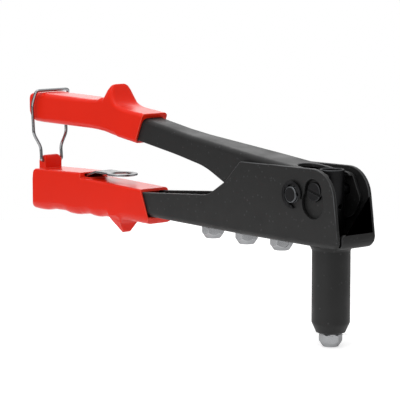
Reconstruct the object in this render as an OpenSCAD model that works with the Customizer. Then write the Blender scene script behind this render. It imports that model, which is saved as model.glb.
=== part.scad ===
// Hand riveter for blind rivets: two sheet-steel arms, a pulling head with jaws, and a latch wire.
// Millimetres. The origin is the tip of the fitted nosepiece, +Z runs up the barrel's axis,
// +X points to the head's open front and -Y is the near side, where the retaining clip sits.

/* [Steel arms] */
// Thickness of the sheet that both arms are bent from
sheet = 2; // [1.6:0.1:2.2]
// Outer width of the lower arm across its ears
body_w = 27; // [26.5:0.5:30]
// Outer width of the lower arm inside its grip
body_tail_w = 17; // [15:0.5:18]
// Distance from the barrel's axis to the front lip
body_front = 18.4; // [17.4:0.2:21]
// Distance from the barrel's axis to the lower arm's rear end
body_back = 236; // [228:1:238]
// Distance behind the barrel's axis where the lower arm starts to narrow
body_taper_start = 56; // [52:1:60]
// Distance behind the barrel's axis where the lower arm stops narrowing
body_taper_end = 150; // [142:1:156]
// Height of the ears above the underside of the floor
ear_h = 40.7; // [39.5:0.1:42]
// Distance from the barrel's axis to the ears' rear top corner
ear_back = 56.5; // [53:0.5:60]
// Height of the lower arm's walls just behind the ears
wall_h = 18.6; // [17:0.2:20]
// Height of the lower arm's walls at its rear end
wall_tail_h = 6; // [5:0.2:7]
// Outer bend radius of the sheet
bend_r = 3; // [2.4:0.1:4]
// Height of the front lip above the underside of the floor
lip_h = 7.8; // [6:0.2:10]
// Rounding of the lip's near top corner
lip_corner = 2.6; // [1:0.1:3.4]
// Outer width of the upper arm inside its grip
lever_tail_w = 15.4; // [14:0.2:16]
// Distance behind the barrel's axis where the upper arm starts to narrow
lever_taper_start = 48; // [44:1:52]
// Distance behind the barrel's axis where the upper arm stops narrowing
lever_taper_end = 120; // [114:1:126]
// Width of the open notch in the upper arm's web, above the jaw carrier
notch_w = 14; // [13.8:0.1:15]

/* [Barrel and nosepieces] */
// Outer diameter of the barrel
barrel_d = 20; // [19:0.5:22]
// Length of the barrel below the floor
barrel_len = 45.8; // [44:0.1:50]
// Diameter of the barrel's lower face, below its chamfer
barrel_tip_d = 16.4; // [15.4:0.1:17.4]
// Height of the barrel's chamfer
barrel_chamfer = 5.8; // [4:0.1:8]
// Hexagon of the nosepieces, across flats
hex_af = 10.8; // [10.5:0.1:11.4]
// Height of a nosepiece's hexagon
nose_out = 7; // [6.5:0.1:9]
// Thread diameter of the nosepieces
thread_d = 9; // [8:0.1:9.4]
// Thread length of the nosepieces
thread_len = 6; // [5:0.5:7]
// Height of the cone on top of the nosepieces' thread, which opens the jaws
pilot_h = 4; // [3:0.1:5]
// Mandrel bore of the nosepiece for 2.4 mm rivets
bore_24 = 1.7; // [1.5:0.1:1.9]
// Mandrel bore of the nosepiece for 3.2 mm rivets
bore_32 = 2.1; // [2:0.1:2.3]
// Mandrel bore of the nosepiece for 4.0 mm rivets
bore_40 = 2.6; // [2.4:0.1:2.8]
// Mandrel bore of the nosepiece for 4.8 mm rivets
bore_48 = 3.1; // [2.9:0.1:3.4]
// Distance from the barrel's axis to the first spare nosepiece
spare_first = 38.1; // [36:0.5:40]
// Distance between spare nosepieces
spare_pitch = 27.9; // [24:0.5:29]

/* [Pivot and trunnions] */
// Diameter of the pivot pin
pin_d = 8.6; // [8:0.1:9]
// Distance from the barrel's axis back to the pivot pin
pivot_back = 15; // [14.6:0.1:16]
// Height of the pivot pin above the underside of the floor
pivot_h = 25.9; // [25:0.1:27]
// Outer diameter of the retaining clip
clip_d = 14.3; // [13:0.1:15]
// Thickness of the retaining clip
clip_t = 1; // [0.8:0.1:1.2]
// Height of the trunnion screws above the underside of the floor
trunnion_h = 28.4; // [28:0.1:29]
// Head diameter of the trunnion screws
screw_head_d = 10; // [9:0.1:10.6]
// Shoulder diameter of the trunnion screws
shoulder_d = 6; // [5:0.1:6.4]
// Thread diameter of the trunnion screws
screw_d = 5; // [4:0.1:5.4]
// Width of the keyhole's upper slot
keyhole_w = 12.6; // [12:0.1:13]
// Height of the keyhole's upper end above the underside of the floor
keyhole_top = 35.3; // [35:0.1:36]
// Diameter of the keyhole's round lower end
keyhole_d = 16.4; // [15.6:0.1:17]
// Height of the centre of the keyhole's round end
keyhole_h = 22.7; // [22:0.1:24]

/* [Jaw train] */
// Outer diameter of the jaw carrier
carrier_d = 13; // [12.6:0.1:13.2]
// Height of the carrier's top above the underside of the floor
carrier_top = 39.4; // [39:0.2:41]
// Diameter of the mandrel passage through the carrier
passage_d = 5; // [4:0.1:5.2]
// Outer diameter of the jaw case
case_d = 14; // [13.6:0.1:14.6]
// Length of the jaw case
case_len = 23; // [22.5:0.5:24]
// Length of the jaws
jaw_len = 10; // [8:0.5:11]
// Gap between the two jaws
jaw_gap = 1.2; // [0.8:0.1:1.4]
// Diameter of the mandrel groove between the open jaws
groove_bore = 3.2; // [3:0.1:3.4]
// Wire diameter of the jaw spring
jaw_wire_d = 1; // [0.8:0.1:1.1]
// Number of turns of the jaw spring
jaw_turns = 6; // [5:1:7]
// Wire diameter of the opening spring
open_wire_d = 1.4; // [1.2:0.1:1.5]
// Number of turns of the opening spring
open_turns = 5; // [4:1:6]

/* [Grips] */
// Outer width of the lower grip
lower_grip_w = 20; // [20:0.2:22]
// Distance from the barrel's axis to the lower grip's rear end
lower_grip_back = 251.5; // [250:0.5:254]
// Height of the lower grip's rear top edge
pad_rear_h = 17.9; // [17.4:0.1:18.6]
// Height of the pad's front edge, behind the spanner
pad_front_h = 19.6; // [19.4:0.1:20.4]
// Distance from the barrel's axis to the pad's front edge
pad_back = 202.5; // [200:0.5:204]
// Height of the deck in front of the pad
deck_h = 16.6; // [16.4:0.1:17]
// Depth of the finger grooves
finger_depth = 1.5; // [1:0.1:2.4]
// Reach of the finger stop below the underside of the floor
stop_reach = 12.8; // [11:0.1:15]
// Outer width of the upper grip
upper_grip_w = 18.4; // [18.4:0.2:20]
// Distance from the barrel's axis to the upper grip's rear end
upper_grip_back = 254.5; // [252:0.5:256]
// Height of the upper grip's underside, above the underside of the floor
upper_low = 46; // [45.6:0.1:46.2]
// Height of the thumb rest above the underside of the floor
thumb_h = 72.8; // [70:0.1:76]
// Height of the wire's saddle on the upper grip
saddle_h = 64; // [63.4:0.1:64.4]

/* [Lock wire] */
// Diameter of the lock wire
wire_d = 1.8; // [1.5:0.1:2]
// Distance from the barrel's axis back to the wire's pivot
wire_back = 243.9; // [243.4:0.1:244.4]
// Height of the wire's pivot
wire_h = 23; // [22.6:0.1:23.4]
// Width of the boss that holds the wire
boss_w = 12.4; // [12:0.2:14]
// Distance between the wire's legs where they pass the upper grip
wire_w = 24; // [23.4:0.2:27]
// Distance that the crossbar hooks forward of the wire's pivot
wire_hook = 1.5; // [1:0.1:2.4]
// Distance that the wire's legs lean back from its pivot, where they bend towards the crossbar
wire_lean = 2.6; // [0:0.1:3]

/* [Spanner] */
// Thickness of the spanner
spanner_t = 1.2; // [1:0.1:1.5]
// Diameter of the spanner's head
spanner_head_d = 18; // [17:0.5:20]
// Distance from the barrel's axis back to the centre of the spanner's head
spanner_back = 175; // [173:0.5:177]
// Width of the spanner's tail
spanner_tail_w = 12; // [10:0.5:13]
// Height of the underside of the spanner's head
spanner_h = 20; // [19.6:0.1:21]
// Height of the underside of the spanner's tail
tail_h = 17.1; // [17:0.1:17.6]

/* [Hidden] */
$fn = 48;
// Clearances
run_gap = 0.05;      // radial, pins and shafts that turn
side_gap = 0.2;      // beside flat faces that slide past each other
thread_gap = 0.1;    // radial, screwed joints
slide_gap = 0.2;     // radial, tube that slides in the barrel
fit_gap = 0.1;       // moulded grips on the arms
rest_gap = 0.2;      // loose pieces on their seats

floor_z = nose_out + barrel_len;
body_in = body_w / 2 - sheet;
lever_w = body_w - 2 * sheet - 2 * side_gap;
lever_in = lever_w / 2 - sheet;
relief_w = 1.3;
neck_d = 17;
neck_rim = 1;
barrel_bore = case_d + 2 * slide_gap;
tall = 90;
eps = 0.01;
sharp = [0, 0];
BLACK = "#2b2b2b";
RED = "#dc3022";
ZINC = "#c9cccf";
STEEL = "#8f9296";

// Everything but the origin is measured from the underside of the floor
module at_floor() {
  translate([0, 0, floor_z]) children();
}

// Points of one corner of an outline, as an arc of radius r that its two sides can hold
function corner_arc(a, p, b, r, steps) =
  let (u = (a - p) / norm(a - p), v = (b - p) / norm(b - p))
  let (half = acos(max(-1, min(1, u * v))) / 2)
  let (reach = min(r / tan(half), 0.49 * norm(a - p), 0.49 * norm(b - p)))
  let (radius = reach * tan(half), mid = (u + v) / norm(u + v))
  let (centre = p + mid * radius / sin(half), from = p + u * reach - centre, to = p + v * reach - centre)
  let (start = atan2(from.y, from.x), turn = atan2(to.y, to.x) - start)
  let (sweep = turn > 180 ? turn - 360 : turn < -180 ? turn + 360 : turn)
  [for (i = [0:steps]) centre + radius * [cos(start + sweep * i / steps), sin(start + sweep * i / steps)]];

// Outline from corners written as [x, z, radius]
function rounded(corners) =
  let (n = len(corners))
  [for (i = [0:n - 1])
    let (p = corners[i], a = corners[(i + n - 1) % n], b = corners[(i + 1) % n])
    each p[2] > 0 ? corner_arc([a.x, a.y], [p.x, p.y], [b.x, b.y], p[2], p[2] > 9 ? 9 : 4) : [[p.x, p.y]]];

// Plate whose outline is in X and Z, centred on y
module side_plate(outline, w, y = 0) {
  translate([0, y + w / 2, 0]) rotate([90, 0, 0]) linear_extrude(w) polygon(outline);
}

// Round bar along Y, from y0 to y1
module y_rod(x, z, d, y0, y1) {
  translate([x, y0, z]) rotate([-90, 0, 0]) cylinder(d = d, h = y1 - y0);
}

// Quarter-ellipse corners of a cross-section written as [x, width, bottom, top, bottom corner, top corner],
// where a corner is [radius in Y, radius in Z]
function section_ring(s, steps = 3) =
  let (hw = s[1] / 2, low = s[4], high = s[5])
  let (corners = [[hw - high.x, s[3] - high.y, high, 0], [-hw + high.x, s[3] - high.y, high, 90],
                  [-hw + low.x, s[2] + low.y, low, 180], [hw - low.x, s[2] + low.y, low, 270]])
  [for (c = corners)
    let (n = norm(c[2]) > 0 ? steps : 0)
    for (i = [0:n])
      let (angle = c[3] + 90 * i / max(n, 1))
      [s[0], c[0] + c[2].x * cos(angle), c[1] + c[2].y * sin(angle)]];

// Solid skinned over cross-sections that run from the rear to the front
module loft(sections) {
  rings = [for (s = sections) section_ring(s)];
  n = len(rings[0]);
  m = len(rings);
  sides = [for (i = [0:m - 2], j = [0:n - 1])
    [i * n + j, (i + 1) * n + j, (i + 1) * n + (j + 1) % n, i * n + (j + 1) % n]];
  ends = [[for (j = [0:n - 1]) j], [for (j = [n - 1:-1:0]) (m - 1) * n + j]];
  polyhedron(points = [for (r = rings) each r], faces = concat(sides, ends), convexity = 6);
}

// Path whose inner corners are eased by curves that reach so far along both sides
function eased(path, reaches, steps = 4) =
  let (last = len(path) - 1)
  [path[0],
   for (i = [1:last - 1])
     let (p = path[i], a = path[i - 1] - p, b = path[i + 1] - p)
     let (reach = reaches[i], from = p + a * min(0.48, reach / norm(a)), to = p + b * min(0.48, reach / norm(b)))
     for (k = [0:steps])
       let (t = k / steps)
       (1 - t) * (1 - t) * from + 2 * t * (1 - t) * p + t * t * to,
   path[last]];

// Round wire along a path that is nowhere parallel to ref
module tube(path, d, ref, sides = 10) {
  m = len(path);
  points = [for (i = [0:m - 1])
    let (along = path[min(i + 1, m - 1)] - path[max(i - 1, 0)])
    let (n = cross(along, ref), across = n / norm(n), up = cross(across, along) / norm(along))
    for (j = [0:sides - 1])
      path[i] + d / 2 * (across * cos(360 * j / sides) + up * sin(360 * j / sides))];
  around = [for (i = [0:m - 2], j = [0:sides - 1])
    [i * sides + j, i * sides + (j + 1) % sides, (i + 1) * sides + (j + 1) % sides, (i + 1) * sides + j]];
  ends = [[for (j = [sides - 1:-1:0]) j], [for (j = [0:sides - 1]) (m - 1) * sides + j]];
  polyhedron(points = points, faces = concat(around, ends), convexity = 10);
}

// LOWER ARM

// Distance behind the barrel's axis where the ears end in the low walls
ear_foot = ear_back + 28;

// Side outline of the lower arm: ears at the head, then a low channel to the rear
function body_outline() = rounded([
  [body_front, -1, 0], [body_front, 6, 25], [body_front - 5, ear_h, 15.5], [-ear_back, ear_h - 1.4, 3],
  [-ear_back - 13, pivot_h + 1.4, 12], [-ear_foot, wall_h, 18], [-body_back, wall_tail_h, 0],
  [-body_back, -1, 0]]);

// Bent outer shape of the channel, with its bend at the front lip
module body_shell() {
  bend = [bend_r, bend_r];
  front = [for (a = [0:30:90])
    [body_front - bend_r + bend_r * sin(a), body_w, bend_r - bend_r * cos(a), tall, bend, sharp]];
  loft(concat([[-body_back, body_tail_w, 0, tall, bend, sharp],
               [-body_taper_end, body_tail_w, 0, tall, bend, sharp],
               [-body_taper_start, body_w, 0, tall, bend, sharp]], front));
}

// Plan outline that is the same on both sides of the barrel's axis, from its far half
function both_sides(half) = concat(half, [for (i = [len(half) - 1:-1:0]) [half[i].x, -half[i].y]]);

// Plan outline of the channel, grown on both sides by side and past its rear end by rear
function body_plan(side, front_x, rear) = both_sides([
  [front_x, body_w / 2 + side], [-body_taper_start, body_w / 2 + side],
  [-body_taper_end, body_tail_w / 2 + side], [-body_back - rear, body_tail_w / 2 + side]]);

// Space between the walls, above the floor and behind the lip
module body_hollow() {
  translate([0, 0, sheet]) linear_extrude(tall) polygon(body_plan(-sheet, body_front - sheet, 1));
}

// Slot for the trunnion's head with a round lower end that lets the screw in
module keyhole() {
  r = keyhole_w / 2;
  big_r = keyhole_d / 2;
  meet = acos(r / big_r);
  upper = [for (a = [0:15:180]) [r * cos(a), keyhole_top - r + r * sin(a)]];
  lower = [for (i = [0:16])
    let (a = 180 - meet + (180 + 2 * meet) * i / 16)
    [big_r * cos(a), keyhole_h + big_r * sin(a)]];
  side_plate(concat(upper, lower), body_w + 4);
}

// Outline of a slot of width d along X, its round ends centred at -reach and reach
function slot_outline(reach, z, d) =
  [for (s = [1, -1], a = [-90:15:90]) s * [reach + d / 2 * cos(a), d / 2 * sin(a)] + [0, z]];

module body_frame() {
  collar_h = 2;
  color(BLACK) at_floor() difference() {
    union() {
      difference() {
        intersection() {
          body_shell();
          side_plate(body_outline(), body_w + 2);
        }
        body_hollow();
      }
      // drawn collars that carry the spare nosepieces' threads
      for (i = [0:2])
        translate([-spare_first - i * spare_pitch, 0, sheet / 2]) cylinder(d = thread_d + 3, h = sheet / 2 + collar_h);
    }
    // open front above the lip, with the relief cut beside it and the lip's rounded near corner
    translate([body_front - sheet - 1, 0, 0]) rotate([90, 0, 90]) linear_extrude(sheet + 2) polygon(rounded([
      [-body_in, sheet, 0], [-body_in + relief_w, sheet, 0], [-body_in + relief_w, lip_h, lip_corner],
      [body_in, lip_h, 0], [body_in, tall, 0], [-body_in, tall, 0]]));
    keyhole();
    y_rod(-pivot_back, pivot_h, pin_d + 2 * run_gap, -body_w, body_w);
    translate([0, 0, -1]) cylinder(d = neck_d + 2 * run_gap, h = sheet + 2);
    for (i = [0:2])
      translate([-spare_first - i * spare_pitch, 0, -1])
        cylinder(d = thread_d + 2 * thread_gap, h = sheet + collar_h + 2);
  }
}

// BARREL AND NOSEPIECES

module barrel() {
  bottom = -barrel_len;
  tip_r = barrel_tip_d / 2;
  edge = 1.8;
  soft_edge = 0.3 * edge;
  weld = 1.3;
  thread_r = thread_d / 2 + thread_gap;
  color(BLACK) at_floor() rotate_extrude() polygon([
    [thread_r, bottom], [tip_r - edge, bottom], [tip_r - soft_edge, bottom + soft_edge],
    [tip_r, bottom + edge],
    [barrel_d / 2, bottom + barrel_chamfer], [barrel_d / 2, -2 * weld], [barrel_d / 2 + weld, 0],
    [neck_d / 2, 0], [neck_d / 2, sheet], [neck_d / 2 + neck_rim, sheet],
    [neck_d / 2 + neck_rim, sheet + neck_rim], [neck_d / 2, sheet + 1.6 * neck_rim],
    [barrel_bore / 2, sheet + 1.6 * neck_rim], [barrel_bore / 2, bottom + thread_len + 2],
    [thread_r, bottom + thread_len + 1]]);
}

// Hexagon below, screwed in to an angle of turn, thread and jaw-opening cone above, seated at z = 0
module nosepiece(bore, turn) {
  corner = hex_af / cos(30) / 2;
  tip_r = hex_af / 2 - 1.4;
  difference() {
    union() {
      intersection() {
        translate([0, 0, -nose_out]) rotate(30 + turn) cylinder(r = corner, h = nose_out, $fn = 6);
        rotate_extrude() polygon([[0, -nose_out], [tip_r, -nose_out], [corner, -nose_out + 3.2],
                                  [corner, -1], [hex_af / 2, 0], [0, 0]]);
      }
      translate([0, 0, -eps]) cylinder(d = thread_d, h = thread_len + eps);
      translate([0, 0, thread_len - eps]) cylinder(d1 = thread_d - 2, d2 = thread_d - 4.6, h = pilot_h);
    }
    translate([0, 0, -nose_out - 1]) cylinder(d = bore, h = nose_out + thread_len + pilot_h + 2);
  }
}

module fitted_nosepiece(bore) {
  color(ZINC) at_floor() translate([0, 0, -barrel_len]) nosepiece(bore, 25);
}

module spare_nosepiece(bore, place, turn) {
  color(ZINC) at_floor() translate([-spare_first - place * spare_pitch, 0, 0]) nosepiece(bore, turn);
}

// PIVOT

groove_d = pin_d - 2;
groove_y = -body_w / 2 - rest_gap / 2;

module pivot_pin() {
  end_y = groove_y - clip_t - 0.8;
  head_t = 2;
  color(STEEL) at_floor() translate([-pivot_back, 0, pivot_h]) rotate([-90, 0, 0]) rotate_extrude() polygon([
    [0, end_y], [pin_d / 2 - 0.4, end_y], [pin_d / 2, end_y + 0.4], [pin_d / 2, groove_y - clip_t - 0.1],
    [groove_d / 2, groove_y - clip_t - 0.1], [groove_d / 2, groove_y], [pin_d / 2, groove_y],
    [pin_d / 2, body_w / 2], [pin_d / 2 + 2, body_w / 2], [pin_d / 2 + 2, body_w / 2 + head_t - 0.8],
    [pin_d / 2 + 1.2, body_w / 2 + head_t], [0, body_w / 2 + head_t]]);
}

// E-shaped clip, open towards the lower front
module retaining_clip() {
  y1 = groove_y - 0.05;
  y0 = y1 - clip_t;
  reach = clip_d / 2 + 1;
  ring_in = pin_d / 2 + 1;
  mouth = 225;
  prong = 2.8;
  color(STEEL) at_floor() translate([-pivot_back, 0, pivot_h]) difference() {
    union() {
      difference() {
        y_rod(0, 0, clip_d, y0, y1);
        y_rod(0, 0, 2 * ring_in, y0 - 1, y1 + 1);
        // mouth
        rotate([0, mouth - 180, 0]) translate([0, y0 - 1, -prong - 0.9]) cube([reach, clip_t + 2, 2 * prong + 1.8]);
      }
      // three prongs that hold the groove
      for (a = [0, 105, -105])
        rotate([0, mouth + a, 0]) translate([groove_d / 2 - 0.5, y0, -prong / 2])
          cube([ring_in + 1 - groove_d / 2, clip_t, prong]);
    }
    y_rod(0, 0, groove_d + 2 * run_gap, y0 - 1, y1 + 1);
  }
}

// UPPER ARM

// Height of the top of the upper arm's web: straight over the head, then cranked up into the grip
lever_tops = [[12, 36.9], [-lever_taper_start, 43], [-104, 48.9], [-lever_taper_end, 51.1], [-132, 53],
              [-150, 55.9], [-164, 57.7], [-180, 58.8], [-body_back, 59.6]];

function lever_width(x) = lookup(-x, [[lever_taper_start, lever_w], [lever_taper_end, lever_tail_w]]);

// Bent outer shape of the channel, grown all round by gap
module lever_shell(gap = 0) {
  bend = [bend_r + gap, bend_r + gap];
  last = len(lever_tops) - 1;
  loft([for (i = [last:-1:0])
    let (p = lever_tops[i])
    [p.x + (i == last ? -gap : 0), lever_width(p.x) + 2 * gap, 0, p.y + gap, sharp, bend]]);
}

// Space between the walls, below the web
module lever_hollow() {
  tops = [for (p = lever_tops) [p.x > 0 ? p.x + 4 : p.x <= -body_back ? p.x - 1 : p.x, p.y - sheet]];
  intersection() {
    side_plate(concat(tops, [[-body_back - 1, -2], [20, -2]]), lever_w);
    linear_extrude(tall) polygon(both_sides([
      [20, lever_in], [-lever_taper_start, lever_in], [-lever_taper_end, lever_tail_w / 2 - sheet],
      [-body_back - 1, lever_tail_w / 2 - sheet]]));
  }
}

// Side outline of the upper arm: fork at the head, bowed underside, tail in the grip
function lever_outline() = rounded([
  [-body_back, 48.6, 0], [-185, 47.5, 40], [-148, 42.1, 60], [-113, 36.9, 80], [-90, 33.1, 60],
  [-72, 25.6, 30], [-58, 17.5, 15], [-30, 13.5, 20], [6, 13.5, 9], [11.2, 24.4, 4], [5, 37.3, 2],
  [-30, 46, 0], [-body_back, tall, 0]]);

module lever_arm() {
  slot_reach = 0.8;
  notch_back = 22.6;
  color(BLACK) at_floor() difference() {
    intersection() {
      lever_shell();
      side_plate(lever_outline(), lever_w + 2);
    }
    lever_hollow();
    // notch for the carrier and the spent mandrel
    translate([-notch_back + notch_w / 2, 0, pivot_h]) cylinder(d = notch_w, h = tall);
    translate([-notch_back + notch_w / 2, -notch_w / 2, pivot_h]) cube([tall, notch_w, tall]);
    y_rod(-pivot_back, pivot_h, pin_d + 2 * run_gap, -body_w, body_w);
    // slots in which the trunnion screws can shift a little as the arm turns
    side_plate(slot_outline(slot_reach, trunnion_h, shoulder_d + 2 * run_gap), lever_w + 4);
  }
}

// GRIPS

soft = [2.4, 2.4];

// Share of the finger depth along the lower grip's underside
finger_line = [[-247, 0.95], [-243, 1], [-238, 0.85], [-234, 0.4], [-230, 0.12], [-226, 0.12], [-221, 0.1],
               [-218, 0.4], [-214, 0.8], [-210, 0.85], [-206, 0.7], [-202, 0.3], [-198, 0], [-195.5, 0.05],
               [-192, 0.4], [-188, 0.5], [-184, 0.2], [-181, 0]];

// Height of the underside where the finger grooves end, and its fall towards the rear
groove_end_h = -4.2;
groove_fall = 0.014;

function grip_low(x) =
  let (groove_end = finger_line[len(finger_line) - 1].x)
  groove_end_h + groove_fall * (x - groove_end) - finger_depth * lookup(x, finger_line);

module lower_grip_shell() {
  w = lower_grip_w;
  back = -lower_grip_back;
  crisp = [1.4, 1.4];
  full = [4.4, 5];
  pad_slope = (pad_front_h - pad_rear_h) / (lower_grip_back - pad_back);
  deck_slope = 0.022;
  // rear end, which leans back towards its foot
  rear = [[back, w - 3.4, -4.4, 1, soft, crisp], [back + 0.5, w - 1.6, -5.6, 7, soft, crisp],
          [back + 1.2, w - 0.6, -6.2, 13, [3.4, 4], crisp],
          [back + 2.2, w, -6.4, pad_rear_h - 0.8, full, crisp],
          [back + 3.4, w, -6.5, pad_rear_h, full, crisp]];
  pad = [for (f = finger_line) if (f[0] < -pad_back - 1)
    [f[0], w, grip_low(f[0]), pad_rear_h + pad_slope * (f[0] - back), full, crisp]];
  step = [[-pad_back, w, grip_low(-pad_back), pad_front_h, full, crisp],
          [-pad_back + 0.4, w, grip_low(-pad_back), deck_h, full, crisp]];
  deck = [for (f = finger_line) if (f[0] > -pad_back + 1)
    [f[0], w, grip_low(f[0]), deck_h - deck_slope * (f[0] + pad_back), full, crisp]];
  // finger stop and front: position, bottom, drop of the top and the rounding of the bottom corner
  front = [for (s = [[-177.2, -4.2, 0.5, full], [-175.4, -6.4, 0.6, [4.8, 5.6]],
                     [-173.8, -stop_reach + 3.6, 0.6, [5.8, 7]], [-172.3, -stop_reach + 0.7, 0.7, [6.8, 8.8]],
                     [-171.2, -stop_reach, 0.7, [7, 9.2]], [-170.2, -stop_reach + 1.2, 0.7, [6.8, 8.4]],
                     [-169.1, -stop_reach + 4.6, 0.8, [5.8, 6.4]], [-167.6, -6.2, 0.8, [4.8, 5.4]],
                     [-163.6, -4.4, 0.9, full], [-156, -4.2, 1.1, full], [-146, -4.4, 1.4, full],
                     [-134, -4.4, 1.7, full]])
    [s[0], w, s[1], deck_h - s[2], s[3], crisp]];
  loft(concat(rear, pad, step, deck, front));
}

// Space beside the finger stop, whose sides slant in towards its tip
module stop_side() {
  top = [-lower_grip_w / 2 - 0.2, -1.8];
  tip = [-3, -stop_reach + 1];
  translate([-182, 0, 0]) rotate([90, 0, 90]) linear_extrude(24)
    polygon([top, tip, [tip.x + 0.7, tip.y - 3], [top.x - 3, tip.y - 3], [top.x - 3, top.y]]);
}

// Boss on the rear of the lower grip that the wire hooks into
module wire_boss() {
  top = wire_h + 3.2;
  base = pad_rear_h - 3;
  rear = -wire_back - 4.2;
  front = -wire_back + 1.8;
  intersection() {
    side_plate(rounded([[rear - 0.2, base, 0], [rear + 0.2, top, 3.4], [front - 0.4, top, 2.4], [front, base, 0]]),
               boss_w);
    translate([rear - 1, 0, 0]) rotate([90, 0, 90]) linear_extrude(front - rear + 2) polygon(rounded([
      [-boss_w / 2, base, 0], [-boss_w / 2, top, 2.4], [boss_w / 2, top, 2.4], [boss_w / 2, base, 0]]));
  }
}

module lower_grip() {
  lower_mouth = 146.6;
  core_w = body_tail_w - 2 * sheet - 2 * fit_gap;
  block_w = 12;
  block_low = 12;
  slit_w = spanner_tail_w + 2 * rest_gap;
  color(RED) at_floor() difference() {
    union() {
      lower_grip_shell();
      wire_boss();
      // rest under the spanner's tail
      translate([-pad_back - 1, -block_w / 2, block_low]) cube([7, block_w, tail_h - rest_gap - block_low]);
    }
    // socket for the steel arm, round a core that fills the arm's channel
    difference() {
      intersection() {
        side_plate([[-body_back - fit_gap, -fit_gap], [0, -fit_gap], [0, wall_h + 8],
                    [-ear_foot, wall_h + fit_gap], [-body_back - fit_gap, wall_tail_h + fit_gap]], body_w + 2);
        translate([0, 0, -1]) linear_extrude(tall) polygon(body_plan(fit_gap, 0, fit_gap));
      }
      translate([-body_back - 1, -core_w / 2, sheet + fit_gap]) cube([body_back + 1 - lower_mouth - 2, core_w, tall]);
    }
    // slanted mouth, with a tongue under the arm
    side_plate([[-lower_mouth, 17], [-139, -0.9], [-140.6, -3.2], [-144.2, -7], [-100, -7], [-100, 30],
                [-lower_mouth, 30]], 60);
    // slit that holds the spanner's tail
    translate([-pad_back - 8, -slit_w / 2, tail_h - rest_gap]) cube([9, slit_w, spanner_t + 2 * rest_gap]);
    for (s = [-1, 1])
      y_rod(-wire_back, wire_h, wire_d + 4 * run_gap, s > 0 ? 2 : -boss_w, s > 0 ? boss_w : -2);
    stop_side();
    mirror([0, 1, 0]) stop_side();
  }
}

module upper_grip_shell() {
  w = upper_grip_w;
  back = -upper_grip_back;
  low = upper_low;
  crown = [2.8, 3.2];
  full = [3.2, 3.6];
  rear = [[back, w - 3, low + 8, saddle_h - 3.1, [2, 3], soft],
          [back + 0.5, w - 1.4, low + 6, saddle_h - 2, [2.4, 3], soft],
          [back + 1.4, w - 0.4, low + 3.6, saddle_h - 1.3, [2.8, 3.2], soft],
          [back + 2.8, w, low + 1.6, saddle_h - 0.8, full, crown],
          [back + 5, w, low + 0.4, saddle_h - 0.4, full, crown]];
  // position, bottom, top and the rounding of the top corner
  fin = [6.2, 10.2];
  rest = [for (s = [[-244, low + 0.2, saddle_h - 0.1, crown], [-241.4, low + 0.1, saddle_h, crown],
                    [-236, low + 0.1, saddle_h - 0.3, crown], [-215, low, saddle_h - 0.6, crown],
                    [-196, low, saddle_h - 0.9, soft], [-188, low - 0.3, saddle_h - 0.5, soft],
                    [-184.6, low - 0.6, saddle_h + 0.6, soft], [-182, low - 0.8, thumb_h - 7.9, [3.2, 3.6]],
                    [-180.4, low - 1.1, thumb_h - 4.9, [4.4, 6]], [-179, low - 1.3, thumb_h - 1.8, [5.6, 9]],
                    [-177.8, low - 1.5, thumb_h - 0.3, fin], [-176.8, low - 1.7, thumb_h - 0.2, fin],
                    [-175.8, low - 1.9, thumb_h - 1.6, [5.8, 9]], [-174.6, low - 2.1, thumb_h - 4.4, [4.6, 6.6]],
                    [-173.1, low - 2.3, thumb_h - 7.4, [3.4, 4.2]], [-171.2, low - 2.6, thumb_h - 10, [2.8, 3]],
                    [-168.4, low - 3, saddle_h - 2.9, soft], [-164, low - 3.6, saddle_h - 4.1, soft],
                    [-156, low - 4.6, saddle_h - 5, soft], [-140, low - 6.8, saddle_h - 6.5, soft]])
    [s[0], w, s[1], s[2], s[0] < -170 ? full : soft, s[3]]];
  loft(concat(rear, rest));
}

module upper_grip() {
  upper_mouth = 151.9;
  core_front = upper_mouth + 2;
  core_w = lever_tail_w - 2 * sheet - 2 * fit_gap;
  core_low = 40;
  core_tops = [for (x = [-body_back - 1, -180, -164, -core_front])
    [x, lookup(x, lever_tops) - sheet - fit_gap]];
  color(RED) at_floor() difference() {
    upper_grip_shell();
    // socket for the steel arm, round a core that fills the arm's channel
    difference() {
      intersection() {
        lever_shell(fit_gap);
        side_plate([[-body_back - fit_gap, 48.5], [-185, 47.3], [-140, 40.4], [-130, 38.2], [-130, tall],
                    [-body_back - fit_gap, tall]], 60);
      }
      side_plate(concat(core_tops, [[-core_front, core_low], [-body_back - 1, core_low]]), core_w);
    }
    // slanted mouth
    side_plate([[-upper_mouth, 36], [-upper_mouth + 0.4, 41], [-144.7, 56.6], [-144.3, 64], [-120, 64],
                [-120, 36]], 60);
  }
}

// LOCK WIRE

module lock_wire() {
  leg_y = boss_w / 2 + wire_d / 2 + 0.3;
  bar_h = saddle_h + wire_d / 2 + rest_gap;
  x = -wire_back;
  half = [[x, leg_y, wire_h], [x - wire_lean / 4, leg_y, wire_h + 8],
          [x - wire_lean / 2, wire_w / 2, wire_h + 16], [x - wire_lean, wire_w / 2, bar_h - 8.5],
          [x + wire_hook, wire_w / 2, bar_h]];
  near = [for (i = [len(half) - 1:-1:0]) [half[i].x, -half[i].y, half[i].z]];
  start = [[x, 2.4, wire_h]];
  finish = [[x, -2.4, wire_h]];
  reaches = [0, 1.2, 2.4, 2.4, 2.4, 2.4, 2.4, 2.4, 2.4, 2.4, 1.2, 0];
  color(ZINC) at_floor() tube(eased(concat(start, half, near, finish), reaches), wire_d, [1, 0, 0]);
}

// SPANNER

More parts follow.
